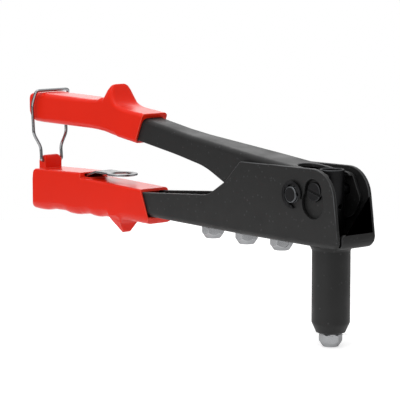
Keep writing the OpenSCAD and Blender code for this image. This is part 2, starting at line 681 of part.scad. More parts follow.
module spanner() {
  top = spanner_h + spanner_t;
  tail_top = tail_h + spanner_t;
  tail_x = -pad_back - 7.4;
  neck_x = -spanner_back - 6;
  step_x = -pad_back + 1.2;
  w = spanner_tail_w;
  color(ZINC) at_floor() difference() {
    union() {
      translate([-spanner_back, 0, spanner_h]) cylinder(d = spanner_head_d, h = spanner_t);
      side_plate([[tail_x, tail_h], [step_x + 0.4, tail_h], [step_x + 8.4, spanner_h], [neck_x, spanner_h],
                  [neck_x, top], [step_x + 8, top], [step_x, tail_top], [tail_x, tail_top]], w);
    }
    translate([-spanner_back, 0, tail_h]) cylinder(r = (hex_af + 0.3) / cos(30) / 2, h = 10, $fn = 6);
  }
}

// JAW TRAIN, on the barrel's axis, z from the underside of the floor

// The nosepiece's cone dips into the case and ends just below the jaws
cone_dip = 1.1;
case_bottom = barrel_len - thread_len - pilot_h + cone_dip;
thread_seat = -case_bottom + case_len;
case_thread_d = case_d - 2.6;
cone_top = thread_seat - 7;
cone_top_d = case_thread_d - 1;
cone_low_d = 6.5;
jaw_low = -case_bottom + cone_dip + 0.3;
pocket_d = case_thread_d - 2.6;
pocket_top = thread_seat + 5;
// Smaller radius of the seat for the pusher's tip at the jaws' upper ends
seat_r = groove_bore / 2 + 0.25;

function cone_r(z) = (cone_low_d + (cone_top_d - cone_low_d) * (z + case_bottom) / (cone_top + case_bottom)) / 2;

module jaw_case() {
  b = -case_bottom;
  color(STEEL) at_floor() rotate_extrude() polygon([
    [cone_low_d / 2, b], [case_d / 2 - 1, b], [case_d / 2, b + 1], [case_d / 2, thread_seat],
    [case_thread_d / 2 + thread_gap, thread_seat], [case_thread_d / 2 + thread_gap, cone_top],
    [cone_top_d / 2, cone_top]]);
}

// Carrier tube: threaded foot, flats for the trunnion screws, open top for spent mandrels
module jaw_carrier() {
  flat_y = carrier_d / 2 - 0.5;
  rim = 0.3;
  mouth_r = carrier_d / 2 - 1.3;
  color(BLACK) at_floor() difference() {
    rotate_extrude() polygon([
      [pocket_d / 2, cone_top + 1], [case_thread_d / 2, cone_top + 1], [case_thread_d / 2, thread_seat],
      [carrier_d / 2, thread_seat], [carrier_d / 2, carrier_top - rim], [carrier_d / 2 - rim, carrier_top],
      [mouth_r + rim, carrier_top], [mouth_r, carrier_top - rim], [mouth_r, carrier_top - 7.2],
      [passage_d / 2, carrier_top - 9.6], [passage_d / 2, pocket_top], [pocket_d / 2, pocket_top]]);
    for (s = [-1, 1])
      translate([-carrier_d, s > 0 ? flat_y : -flat_y - 5, trunnion_h - 5]) cube([2 * carrier_d, 5, 10]);
    y_rod(0, trunnion_h, screw_d + 2 * thread_gap, -carrier_d, carrier_d);
    // cross hole for a holding pin
    translate([0, 0, 20.5]) rotate([0, 90, 0]) cylinder(d = 2.6, h = carrier_d);
  }
}

// Shoulder screw on the near side
module trunnion_screw() {
  head_y = -(lever_w / 2 + 0.1);
  head_t = 1.6;
  flat_y = -(carrier_d / 2 - 0.5);
  end_y = -(passage_d / 2 + 0.6);
  difference() {
    union() {
      y_rod(0, trunnion_h, screw_d, flat_y, end_y);
      y_rod(0, trunnion_h, shoulder_d, head_y - 0.1, flat_y);
      translate([0, 0, trunnion_h]) rotate([-90, 0, 0]) rotate_extrude() polygon([
        [0, head_y - head_t], [screw_head_d / 2 - 0.4, head_y - head_t],
        [screw_head_d / 2, head_y - head_t + 0.4], [screw_head_d / 2, head_y], [0, head_y]]);
    }
    translate([0, head_y - head_t, trunnion_h]) rotate([0, 15, 0])
      cube([screw_head_d + 2, 1.7, 1.4], center = true);
  }
}

module trunnion_screw_near() {
  color(BLACK) at_floor() trunnion_screw();
}

module trunnion_screw_far() {
  color(BLACK) at_floor() mirror([0, 1, 0]) trunnion_screw();
}

// Half cone with a toothed mandrel groove, on the side where x is positive
module jaw() {
  top = jaw_low + jaw_len;
  teeth = 6;
  tooth_h = 0.5;
  pitch = (jaw_len - 3) / teeth;
  difference() {
    rotate_extrude() polygon([
      [0, jaw_low], [cone_r(jaw_low) - run_gap, jaw_low], [cone_r(top) - run_gap, top], [seat_r + 1, top],
      [seat_r, top - 1.4], [0, top - 1.4]]);
    translate([-20 + jaw_gap / 2, -20, jaw_low - 1]) cube([20, 40, jaw_len + 2]);
    translate([0, 0, jaw_low - 1]) cylinder(d = groove_bore, h = jaw_len + 2);
    for (i = [0:teeth - 1])
      translate([0, 0, jaw_low + 1 + i * pitch]) rotate_extrude()
        polygon([[0, 0], [groove_bore / 2 + tooth_h, 0], [groove_bore / 2 - 0.1, pitch * 0.7],
                 [0, pitch * 0.7]]);
  }
}

module jaw_front() {
  color(STEEL) at_floor() jaw();
}

module jaw_rear() {
  color(STEEL) at_floor() mirror([1, 0, 0]) jaw();
}

pusher_low = jaw_low + jaw_len - 0.8;
flange_h = jaw_low + jaw_len + 2.6;

// Tube whose coned tip sits between the jaws' upper ends
module jaw_pusher() {
  bore_r = groove_bore / 2 + 0.1;
  tip_r = seat_r + 0.1;
  collar_r = 3.4;
  stem_r = bore_r + 0.9;
  color(STEEL) at_floor() rotate_extrude() polygon([
    [bore_r, pusher_low], [tip_r, pusher_low], [collar_r, pusher_low + 1.13 * (collar_r - tip_r)],
    [collar_r, flange_h - 1], [pocket_d / 2 - run_gap, flange_h - 1], [pocket_d / 2 - run_gap, flange_h],
    [stem_r, flange_h], [stem_r, flange_h + 6], [bore_r, flange_h + 6]]);
}

module jaw_spring() {
  r = pocket_d / 2 - 0.2 - jaw_wire_d / 2;
  low = flange_h + jaw_wire_d / 2 + 0.1;
  high = pocket_top - jaw_wire_d / 2 - 0.1;
  per_turn = 12;
  color(ZINC) at_floor() tube([for (i = [0:per_turn * jaw_turns])
    let (a = 360 * i / per_turn)
    [r * cos(a), r * sin(a), low + (high - low) * i / per_turn / jaw_turns]], jaw_wire_d, [0, 0, 1], 6);
}

// Torsion spring on the pivot pin: one leg on the floor, the other under the upper arm's web
module opening_spring() {
  r = pin_d / 2 + 0.5 + open_wire_d / 2;
  half = 6.4;
  per_turn = 12;
  steps = per_turn * open_turns - per_turn / 2;
  coil = [for (i = [0:steps])
    let (a = -90 - 360 * i / per_turn)
    [-pivot_back + r * cos(a), -half + 2 * half * i / steps, pivot_h + r * sin(a)]];
  low = [[-pivot_back - 16, -half, sheet + open_wire_d / 2 + rest_gap]];
  web_h = lookup(-pivot_back - 20, lever_tops) - sheet;
  high = [[-pivot_back - 20, half, web_h - open_wire_d / 2 - rest_gap]];
  color(ZINC) at_floor() tube(concat(low, coil, high), open_wire_d, [0, 1, 0], 8);
}

body_frame();
barrel();
fitted_nosepiece(bore_32);  // nosepiece_32
spare_nosepiece(bore_24, 2, 25);  // nosepiece_24
spare_nosepiece(bore_40, 1, 25);  // nosepiece_40
spare_nosepiece(bore_48, 0, 25);  // nosepiece_48
pivot_pin();
retaining_clip();
lever_arm();
upper_grip();
lower_grip();
lock_wire();
spanner();
trunnion_screw_near();
trunnion_screw_far();
jaw_carrier();
jaw_case();
jaw_front();
jaw_rear();
jaw_pusher();
jaw_spring();
opening_spring();
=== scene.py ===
"""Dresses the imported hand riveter: rounded steel, moulded grips, bright wire, and a white studio."""
import math

import bmesh
import bpy
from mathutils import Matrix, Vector


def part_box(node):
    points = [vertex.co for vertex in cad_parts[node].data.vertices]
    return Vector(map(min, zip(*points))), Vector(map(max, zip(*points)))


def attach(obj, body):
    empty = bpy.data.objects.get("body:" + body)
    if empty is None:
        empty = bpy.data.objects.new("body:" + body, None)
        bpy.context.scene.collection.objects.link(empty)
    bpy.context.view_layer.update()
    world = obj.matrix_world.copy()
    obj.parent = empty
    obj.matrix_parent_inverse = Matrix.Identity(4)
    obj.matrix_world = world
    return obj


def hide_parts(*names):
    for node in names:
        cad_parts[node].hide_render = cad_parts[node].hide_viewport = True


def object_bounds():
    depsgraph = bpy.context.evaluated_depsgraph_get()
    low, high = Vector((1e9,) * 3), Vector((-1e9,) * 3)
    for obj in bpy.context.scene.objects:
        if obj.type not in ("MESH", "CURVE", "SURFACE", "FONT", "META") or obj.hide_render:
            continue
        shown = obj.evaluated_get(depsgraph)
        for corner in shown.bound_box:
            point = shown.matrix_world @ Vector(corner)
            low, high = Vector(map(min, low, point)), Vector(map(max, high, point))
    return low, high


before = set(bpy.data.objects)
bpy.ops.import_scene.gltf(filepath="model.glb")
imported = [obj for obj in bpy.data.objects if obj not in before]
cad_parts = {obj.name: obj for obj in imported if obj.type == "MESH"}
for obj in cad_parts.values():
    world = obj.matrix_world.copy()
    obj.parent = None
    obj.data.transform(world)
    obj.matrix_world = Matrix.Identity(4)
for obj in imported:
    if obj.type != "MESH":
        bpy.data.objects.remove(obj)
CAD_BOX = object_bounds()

bl_info = {
    "name": "Hand riveter",
    "version": (1, 0, 0),
    "blender": (4, 5, 0),
    "location": "3D View > Sidebar > Riveter",
    "description": "Dresses the packed hand riveter and sets up its studio",
    "category": "Add Mesh",
}

MM = 0.001
# Underside of the lower arm's floor, from which the grips and the wire are measured, in millimetres
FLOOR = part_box("body_frame")[0].z / MM
# Thickness of the arms' sheet, the grips' clearance on it, and the rear end of both arms in the grips
SHEET = 2.0
FIT = 0.1
ARM_END = -236
# Corner roundings of the grips' cross-sections, in Y and Z
SHARP = (0.0, 0.0)
SOFT = (2.4, 2.4)
CRISP = (1.4, 1.4)
# Width of a cut that goes right through a grip, and a spacing that eases no sections in between
ACROSS = 60.0
STRAIGHT = 200.0
# Points that lie closer than this in millimetres are welded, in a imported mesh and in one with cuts
PACKED_WELD = 0.002
CUT_WELD = 0.03
# Angles in degrees: up to which faces count as one flat face, above which edges are rounded, and above
# which the shading breaks
FLAT = 0.3
SHEARED_EDGE = 40.0
CHAMFERED_EDGE = 24.0
CREASE = 34.0
# The head's keyholes and cross hole, which no hand rubs: their height, reach and share of the edge abrasion
# and painted highlight
HOLES_H = 25.0
HOLES_REACH = 10.7
HOLES_ABRASION_AND_HIGHLIGHT = 0.1
# Points in each turn of a spring, and sides of its wire
PER_TURN = 24
SPRING_SIDES = 12
# Sockets of the Mix node when it mixes colours
MIX_SHARE = 0
MIX_FIRST = 6
MIX_SECOND = 7
MIX_RESULT = 2
WHITE = (1.0, 1.0, 1.0, 1.0)


def linear(hex_colour):
    """An sRGB hex value as a linear colour."""
    parts = [int(hex_colour[i:i + 2], 16) / 255 for i in (1, 3, 5)]
    return [p / 12.92 if p <= 0.04045 else ((p + 0.055) / 1.055) ** 2.4 for p in parts]


def length(title, words, size):
    """A length in metres that a user can change, from millimetres."""
    return bpy.props.FloatProperty(name=title, description=words, default=size * MM, min=0.0, unit="LENGTH",
                                   precision=5)


def colour(title, words, hex_colour):
    """A colour that a user can change, from its sRGB hex value."""
    return bpy.props.FloatVectorProperty(name=title, description=words, default=linear(hex_colour), min=0.0,
                                         max=1.0, size=3, subtype="COLOR")


def power(title, words, watts):
    """The power of a lamp that a user can change."""
    return bpy.props.FloatProperty(name=title, description=words, default=watts, min=0.0, unit="POWER")


def level(title, words, share):
    """A strength that a user can change, where 1 is white."""
    return bpy.props.FloatProperty(name=title, description=words, default=share, min=0.0)


def view_angle(title, words, degrees):
    """An angle of the camera that a user can change, from degrees."""
    return bpy.props.FloatProperty(name=title, description=words, default=math.radians(degrees),
                                   subtype="ANGLE", unit="ROTATION")


# Sizes, colours and light that a user would change

class RiveterEdges(bpy.types.PropertyGroup):
    """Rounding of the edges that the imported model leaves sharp."""
    sheet: length("Sheet edges", "Rounding of the arms' sheared edges", 0.35)
    turned: length("Turned edges", "Rounding of the barrel's, pin's and screws' edges", 0.22)
    plated: length("Plated edges", "Rounding of the nosepieces' and spanner's edges", 0.25)
    moulded: length("Moulded edges", "Rounding of the grips' mouths and slit", 0.35)


class RiveterGrips(bpy.types.PropertyGroup):
    """Sizes of the moulded grips and the latch wire, with heights measured from the lower arm's floor."""
    pad_rear_h: length("Pad rear", "Height of the lower grip's rear top edge", 17.9)
    pad_front_h: length("Pad front", "Height of the pad's front edge, behind the spanner", 19.6)
    pad_back: length("Pad distance", "Distance from the barrel's axis to the pad's front edge", 202.5)
    deck_h: length("Deck", "Height of the deck in front of the pad", 16.6)
    finger_depth: length("Finger grooves", "Depth of the finger grooves", 1.5)
    stop_reach: length("Finger stop", "Reach of the finger stop below the floor", 12.8)
    tail_h: length("Spanner slit", "Height of the underside of the spanner's tail", 17.1)
    upper_low: length("Upper grip", "Height of the upper grip's underside", 46.0)
    thumb_h: length("Thumb rest", "Height of the thumb rest", 72.8)
    saddle_h: length("Saddle", "Height of the wire's saddle on the upper grip", 64.0)
    boss_w: length("Boss", "Width of the boss that holds the wire", 12.4)
    wire_d: length("Wire", "Diameter of the latch wire", 1.8)
    wire_back: length("Wire pivot distance", "Distance from the barrel's axis to the wire's pivot", 243.9)
    wire_h: length("Wire pivot height", "Height of the wire's pivot", 23.0)
    wire_w: length("Wire width", "Distance between the wire's legs beside the upper grip", 24.0)


class RiveterColours(bpy.types.PropertyGroup):
    """Colours of the riveter's finishes."""
    enamel: colour("Black enamel", "Colour of the arms and the barrel", "#101010")
    # partly abraded enamel, partly painted highlight on the arms' and barrel's edges
    abraded_edge_with_highlight: colour("Abraded edge with highlight", "Colour where handling has thinned the enamel, with painted highlight on the edges", "#5a5b5d")
    plastic: colour("Red plastic", "Colour of the grips", "#e6240c")
    # painted highlight on the grips' rounded edges
    painted_edge_highlight: colour("Painted plastic highlight", "Colour of the painted highlight on the grips' edges", "#f0604e")
    zinc: colour("Bright zinc", "Colour of the wire, spanner and nosepieces", "#9d9ea0")
    # also the painted highlight, partly abrasion, on the black oxide's edges
    steel: colour("Turned steel", "Colour of the jaws and their case", "#8f9296")
    oxide: colour("Black oxide", "Colour of the pin, clip, screws and jaw carrier", "#303031")


class RiveterStudio(bpy.types.PropertyGroup):
    """Light and camera of the studio."""
    room: level("Room", "Strength of the light from all sides", 0.55)
    top_power: power("Top light", "Power of the light overhead", 9.0)
    side_power: power("Side light", "Power of the light on the near side", 6.0)
    back_power: power("Back light", "Power of the light behind the riveter", 7.0)
    walls: level("Walls", "Brightness that gloss shows level with the riveter, below the white ceiling", 0.25)
    floor_radius: length("Floor radius", "Radius of the pale floor under the riveter", 400.0)
    floor_lift: level("Floor lift", "White that the floor adds to its shade", 0.5)
    lens: bpy.props.FloatProperty(
        name="Lens", description="Focal length on a 36 mm sensor, in millimetres", default=189.0, min=1.0)
    distance: length("Camera distance", "Distance from the camera to its target", 1158.7)
    azimuth: view_angle("Azimuth", "Camera's turn round the riveter", 50.0)
    elevation: view_angle("Elevation", "Camera's angle above the horizon", 7.6)


# Finishes

def add(tree, kind, values=None, links=None, **settings):
    """Adds one node with its settings, its sockets' values and the sockets that feed it."""
    node = tree.nodes.new(kind)
    for name, value in settings.items():
        setattr(node, name, value)
    for socket, value in (values or {}).items():
        node.inputs[socket].default_value = value
    for socket, source in (links or {}).items():
        tree.links.new(source, node.inputs[socket])
    return node


def blank_finish(name, sockets):
    """A material with one shader, and the object's own coordinates for its patterns."""
    material = bpy.data.materials.new(name)
    material.use_nodes = True
    tree = material.node_tree
    tree.nodes.clear()
    surface = add(tree, "ShaderNodeBsdfPrincipled", sockets)
    add(tree, "ShaderNodeOutputMaterial", links={"Surface": surface.outputs["BSDF"]})
    place = add(tree, "ShaderNodeTexCoord").outputs["Object"]
    return material, tree, surface, place


def feed(tree, surface, skin, gloss, relief):
    """Feeds a finish's colour, roughness and relief to its shader."""
    tree.links.new(skin.outputs[MIX_RESULT], surface.inputs["Base Color"])
    tree.links.new(gloss.outputs["Result"], surface.inputs["Roughness"])
    tree.links.new(relief.outputs["Normal"], surface.inputs["Normal"])


def enamelled_steel(colours):
    """Mild steel sheet, dipped in black enamel and stoved."""
    # The enamel dries to a satin skin over gritty sheet: flat light greys it, and pale grains sparkle in it
    material, tree, surface, place = blank_finish("stoved_enamel_on_steel_sheet",
                                                  {"Specular IOR Level": 0.34})
    # the real grit is about 0.3 mm, drawn at 1.2 mm so that it shows
    grit = add(tree, "ShaderNodeTexNoise", {"Scale": 1 / (1.2 * MM), "Detail": 3.0, "Roughness": 0.65},
               {"Vector": place})
    patches = add(tree, "ShaderNodeTexNoise", {"Scale": 1 / (14 * MM), "Detail": 2.0}, {"Vector": place})
    # pale dust grains, about 1 mm wide and a few millimetres apart
    grains = add(tree, "ShaderNodeTexVoronoi", {"Scale": 1 / (3.4 * MM)}, {"Vector": place})
    grain_share = add(tree, "ShaderNodeMapRange",
                      {"From Min": 0.2, "From Max": 0.06, "To Min": 0.0, "To Max": 0.22},
                      {"Value": grains.outputs["Distance"]})
    # handling thins the enamel along the edges, and painted highlight lightens them too, more in some patches
    # than in others
    abrasion_and_highlight = add(tree, "ShaderNodeAttribute", attribute_name="abrasion_and_highlight")
    patchy_abrasion_and_highlight = add(tree, "ShaderNodeMapRange", {"From Min": 0.35, "From Max": 0.6, "To Min": 0.1, "To Max": 0.65},
               {"Value": patches.outputs["Fac"]})
    edge_share = add(tree, "ShaderNodeMath", links={0: abrasion_and_highlight.outputs["Fac"], 1: patchy_abrasion_and_highlight.outputs["Result"]},
                     operation="MULTIPLY")
    share = add(tree, "ShaderNodeMath", links={0: edge_share.outputs[0], 1: grain_share.outputs["Result"]},
                operation="MAXIMUM")
    # enamel, and the paler edge colour: partly abraded enamel, partly painted highlight
    skin = add(tree, "ShaderNodeMix", {MIX_FIRST: (*colours.enamel, 1.0), MIX_SECOND: (*colours.abraded_edge_with_highlight, 1.0)},
               {MIX_SHARE: share.outputs[0]}, data_type="RGBA")
    gloss = add(tree, "ShaderNodeMapRange", {"From Min": 0.3, "From Max": 0.7, "To Min": 0.48, "To Max": 0.6},
                {"Value": patches.outputs["Fac"]})
    relief = add(tree, "ShaderNodeBump", {"Strength": 0.4, "Distance": 0.04 * MM},
                 {"Height": grit.outputs["Fac"]})
    feed(tree, surface, skin, gloss, relief)
    return material


def moulded_polypropylene(colours):
    """Polypropylene, injection-moulded in a polished tool."""
    # A clean saturated red with soft wide highlights, faint flow marks and hair-fine scuffs
    material, tree, surface, place = blank_finish("injection_moulded_polypropylene",
                                                   {"IOR": 1.49, "Specular IOR Level": 0.15})
    # flow marks some 30 mm long, a touch deeper in colour
    deep, pale = 0.94, 1.03
    red = Vector(colours.plastic)
    flow = add(tree, "ShaderNodeTexNoise", {"Scale": 1 / (30 * MM), "Detail": 1.0}, {"Vector": place})
    tint = add(tree, "ShaderNodeMix", {MIX_FIRST: (*(red * deep), 1.0), MIX_SECOND: (*(red * pale), 1.0)},
               {MIX_SHARE: flow.outputs["Fac"]}, data_type="RGBA")
    # painted highlight: the moulded edges are painted paler, as if light caught them
    painted_highlight_share = 0.45
    abrasion_and_highlight = add(tree, "ShaderNodeAttribute", attribute_name="abrasion_and_highlight")
    edge_share = add(tree, "ShaderNodeMath", {1: painted_highlight_share}, {0: abrasion_and_highlight.outputs["Fac"]}, operation="MULTIPLY")
    red_with_painted_highlight = add(tree, "ShaderNodeMix", {MIX_SECOND: (*colours.painted_edge_highlight, 1.0)},
               {MIX_SHARE: edge_share.outputs[0], MIX_FIRST: tint.outputs[MIX_RESULT]}, data_type="RGBA")
    # the tool's skin is about 0.2 mm, drawn at 0.9 mm so that it shows
    skin = add(tree, "ShaderNodeTexNoise", {"Scale": 1 / (0.9 * MM), "Detail": 2.0}, {"Vector": place})
    # scuffs along the grip, ten times as long as they are wide
    along = add(tree, "ShaderNodeMapping", {"Scale": (0.1, 1.0, 1.0)}, {"Vector": place})
    scuffs = add(tree, "ShaderNodeTexNoise", {"Scale": 1 / (1.5 * MM), "Detail": 4.0, "Roughness": 0.7},
                 {"Vector": along.outputs["Vector"]})
    gloss = add(tree, "ShaderNodeMapRange",
                {"From Min": 0.3, "From Max": 0.7, "To Min": 0.28, "To Max": 0.31},
                {"Value": scuffs.outputs["Fac"]})
    relief = add(tree, "ShaderNodeBump", {"Strength": 0.25, "Distance": 0.02 * MM},
                 {"Height": skin.outputs["Fac"]})
    feed(tree, surface, red_with_painted_highlight, gloss, relief)
    return material


def metal_finish(name, base, edge, grain, gloss_limits, stretch=(1.0, 1.0, 1.0)):
    """A metal with a cloudy base colour, an edge colour for abrasion and painted highlight, grain in
    millimetres and limits of gloss.
    """
    # seen at a low angle, the plated and blackened steel stays grey and doesn't turn to a white mirror
    low_angle = (0.45, 0.45, 0.45, 1.0)
    dull, bright = 0.74, 1.1
    material, tree, surface, place = blank_finish(name, {"Metallic": 1.0, "Specular Tint": low_angle})
    along = add(tree, "ShaderNodeMapping", {"Scale": stretch}, {"Vector": place})
    lines = add(tree, "ShaderNodeTexNoise", {"Scale": 1 / (grain * MM), "Detail": 3.0, "Roughness": 0.6},
                {"Vector": along.outputs["Vector"]})
    cloud = add(tree, "ShaderNodeTexNoise", {"Scale": 1 / (9 * MM), "Detail": 1.0}, {"Vector": place})
    tint = add(tree, "ShaderNodeMix",
               {MIX_FIRST: (*(Vector(base) * dull), 1.0), MIX_SECOND: (*(Vector(base) * bright), 1.0)},
               {MIX_SHARE: cloud.outputs["Fac"]}, data_type="RGBA")
    # painted highlight, partly also abrasion: the rounded edges take the edge colour
    abrasion_and_highlight = add(tree, "ShaderNodeAttribute", attribute_name="abrasion_and_highlight")
    skin = add(tree, "ShaderNodeMix", {MIX_SECOND: (*edge, 1.0)},
               {MIX_SHARE: abrasion_and_highlight.outputs["Fac"], MIX_FIRST: tint.outputs[MIX_RESULT]}, data_type="RGBA")
    gloss = add(tree, "ShaderNodeMapRange",
                {"From Min": 0.3, "From Max": 0.7, "To Min": gloss_limits[0], "To Max": gloss_limits[1]},
                {"Value": lines.outputs["Fac"]})
    relief = add(tree, "ShaderNodeBump", {"Strength": 0.2, "Distance": 0.01 * MM},
                 {"Height": lines.outputs["Fac"]})
    feed(tree, surface, skin, gloss, relief)
    return material


def bright_zinc(colours):
    """Steel, electroplated with bright zinc."""
    # A light grey mirror, softened by the drawn or stamped steel beneath it; its grain is drawn at 0.8 mm
    return metal_finish("bright_zinc_plate", colours.zinc, colours.zinc, grain=0.8,
                        gloss_limits=(0.16, 0.24))


def black_oxide(colours):
    """Steel, turned or stamped and then blackened."""
    # Darker than uncoated metal and a little soft, with bright lines on its edges: painted highlight, partly
    # also abrasion
    return metal_finish("black_oxide_steel", colours.oxide, colours.steel, grain=0.7,
                        gloss_limits=(0.34, 0.5))


def turned_steel(colours):
    """Hardened steel, turned on a lathe and oiled."""
    # Fine rings round its axis, which spread the highlights; feed marks of 0.1 mm are drawn at 0.4 mm
    return metal_finish("turned_hardened_steel", colours.steel, colours.steel, grain=0.4,
                        gloss_limits=(0.25, 0.4), stretch=(0.05, 0.05, 1.0))


FINISHES = {
    "enamel": enamelled_steel,
    "plastic": moulded_polypropylene,
    "zinc": bright_zinc,
    "oxide": black_oxide,
    "steel": turned_steel,
}
made_finishes = {}


def finish(name):
    """The finish of that name, made once."""
    if name not in made_finishes:
        made_finishes[name] = FINISHES[name](bpy.context.scene.riveter_colours)
    return made_finishes[name]


# Shapes, in millimetres from the underside of the lower arm's floor

def at(x, y, z):
    """A point of the row frame in metres."""
    return Vector((x, y, z + FLOOR)) * MM


def plate(outline, width, y=0.0):
    """A closed plate whose outline is in X and Z, centred on y."""
    bm = bmesh.new()
    sides = [[bm.verts.new(at(x, y + side * width / 2, z)) for x, z in outline] for side in (-1, 1)]
    count = len(outline)
    for j in range(count):
        k = (j + 1) % count
        bm.faces.new((sides[0][j], sides[0][k], sides[1][k], sides[1][j]))
    bm.faces.new(sides[0])
    bm.faces.new(reversed(sides[1]))
    bmesh.ops.recalc_face_normals(bm, faces=bm.faces)
    return bm


def bar(outline, x0, x1):
    """A closed bar along X whose outline is in Y and Z."""
    bm = bmesh.new()
    ends = [[bm.verts.new(at(x, y, z)) for y, z in outline] for x in (x0, x1)]
    count = len(outline)
    for j in range(count):
        k = (j + 1) % count
        bm.faces.new((ends[0][j], ends[0][k], ends[1][k], ends[1][j]))
    for end in ends:
        bm.faces.new(end)
    bmesh.ops.recalc_face_normals(bm, faces=bm.faces)
    return bm


def block(x0, x1, width, z0, z1):
    """A closed block across the riveter's middle."""
    return plate([(x0, z0), (x1, z0), (x1, z1), (x0, z1)], width)


def rod(x, z, diameter, y0, y1, sides=20):
    """A closed round bar along Y."""
    circle = [(x + diameter / 2 * math.cos(2 * math.pi * i / sides),
               z + diameter / 2 * math.sin(2 * math.pi * i / sides)) for i in range(sides)]
    return plate(circle, abs(y1 - y0), (y0 + y1) / 2)


def section(x, width, low, high, low_corner=SOFT, high_corner=CRISP):
    """One cross-section: its place, width, bottom, top and the rounding of its lower and upper corners."""
    return (x, width, low, high, *low_corner, *high_corner)


def slopes(places, values):
    """Slopes at the knots that ease a line of values through them without overshoot."""
    steps = [b - a for a, b in zip(places, places[1:])]
    rises = [(b - a) / step for a, b, step in zip(values, values[1:], steps)]
    inner = []
    for i in range(1, len(rises)):
        if rises[i - 1] * rises[i] <= 0:
            inner.append(0.0)
            continue
        before, after = 2 * steps[i] + steps[i - 1], steps[i] + 2 * steps[i - 1]
        inner.append((before + after) / (before / rises[i - 1] + after / rises[i]))
    return [rises[0], *inner, rises[-1]]


def eased_sections(knots, spacing):
    """The cross-sections, with others eased in between them at that spacing."""
    places = [knot[0] for knot in knots]
    columns = list(zip(*knots))
    tangents = [slopes(places, column) for column in columns]
    rows = []
    for i, (x0, x1) in enumerate(zip(places, places[1:])):
        gap = x1 - x0
        parts = max(1, round(gap / spacing))
        for part in range(parts):
            t = part / parts
            rows.append([
                (1 + 2 * t) * (1 - t) ** 2 * column[i] + t * (1 - t) ** 2 * gap * tangent[i]
                + t * t * (3 - 2 * t) * column[i + 1] - t * t * (1 - t) * gap * tangent[i + 1]
                for column, tangent in zip(columns, tangents)])
    rows.append(list(knots[-1]))
    return rows


def ring_points(row, corner_steps):
    """Points round one cross-section, with its four corners as quarter ellipses."""
    x, width, low, high, low_y, low_z, high_y, high_z = row
    half = width / 2
    corners = [(half - high_y, high - high_z, high_y, high_z), (high_y - half, high - high_z, high_y, high_z),
               (low_y - half, low + low_z, low_y, low_z), (half - low_y, low + low_z, low_y, low_z)]
    points = []
    for turn, (y, z, radius_y, radius_z) in enumerate(corners):
        steps = corner_steps if radius_y > 0 else 0
        for i in range(steps + 1):
            angle = math.pi / 2 * (turn + i / max(steps, 1))
            points.append(at(x, y + radius_y * math.cos(angle), z + radius_z * math.sin(angle)))
    return points


def loft(knots, spacing=0.9, corner_steps=7):
    """A closed skin over cross-sections that run along X."""
    bm = bmesh.new()
    rings = [[bm.verts.new(point) for point in ring_points(row, corner_steps)]
             for row in eased_sections(knots, spacing)]
    count = len(rings[0])
    for one, two in zip(rings, rings[1:]):
        for j in range(count):
            k = (j + 1) % count
            bm.faces.new((one[j], two[j], two[k], one[k]))
    bm.faces.new(rings[0])
    bm.faces.new(reversed(rings[-1]))
    bmesh.ops.recalc_face_normals(bm, faces=bm.faces)
    return bm


def eased_path(corners, reaches, steps=10):
    """A path whose inner corners are eased by curves that reach so far along both sides."""
    most_of_side = 0.48
    points = [corners[0]]
    for before, corner, after, reach in zip(corners, corners[1:], corners[2:], reaches):
        back, ahead = before - corner, after - corner
        start = corner + back * min(most_of_side, reach * MM / back.length)
        end = corner + ahead * min(most_of_side, reach * MM / ahead.length)
        for k in range(steps + 1):
            t = k / steps
            points.append((1 - t) ** 2 * start + 2 * t * (1 - t) * corner + t * t * end)
    return [*points, corners[-1]]


def tube(path, diameter, sides=20):
    """A closed round wire along a path."""
    bm = bmesh.new()
    last = len(path) - 1
    across = (path[1] - path[0]).orthogonal()
    rings = []
    for i, point in enumerate(path):
        along = (path[min(i + 1, last)] - path[max(i - 1, 0)]).normalized()
        across = (across - along * across.dot(along)).normalized()
        up = along.cross(across)
        rings.append([bm.verts.new(point + (across * math.cos(2 * math.pi * j / sides)
                                            + up * math.sin(2 * math.pi * j / sides)) * diameter * MM / 2)
                      for j in range(sides)])
    for one, two in zip(rings, rings[1:]):
        for j in range(sides):
            k = (j + 1) % sides
            bm.faces.new((one[j], one[k], two[k], two[j]))
    bm.faces.new(reversed(rings[0]))
    bm.faces.new(rings[-1])
    bmesh.ops.recalc_face_normals(bm, faces=bm.faces)
    return bm


def combine(first, second, operation):
    """One closed mesh, from a closed mesh and another that is joined to it or cut from it."""
    work = []
    for bm in (first, second):
        mesh = bpy.data.meshes.new("work")
        bm.to_mesh(mesh)
        bm.free()
        work.append(bpy.data.objects.new("work", mesh))
        bpy.context.scene.collection.objects.link(work[-1])
    step = work[0].modifiers.new("step", "BOOLEAN")
    step.operation = operation
    step.solver = "EXACT"
    step.object = work[1]
    result = bmesh.new()
    result.from_object(work[0], bpy.context.evaluated_depsgraph_get())
    for obj in work:
        bpy.data.meshes.remove(obj.data)
    if not result.faces:
        raise RuntimeError("two shapes of a grip didn't combine")
    return result


def clean(bm, weld):
    """Welds the points that lie closer than weld, in millimetres, and makes flat faces whole."""
    bmesh.ops.remove_doubles(bm, verts=bm.verts, dist=weld * MM)
    bmesh.ops.dissolve_limit(bm, angle_limit=math.radians(FLAT), verts=bm.verts, edges=bm.edges)
    return bm


def cad_copy(node):
    """The mesh of a CAD node, cleaned."""
    bm = bmesh.new()
    bm.from_mesh(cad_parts[node].data)
    return clean(bm, PACKED_WELD)


def in_head(face):
    """Whether a face lies at the head's keyholes and cross hole, where no hand rubs it and its edges get less
    painted highlight.
    """
    middle = face.calc_center_median() / MM
    return math.hypot(middle.x, middle.z - FLOOR - HOLES_H) < HOLES_REACH


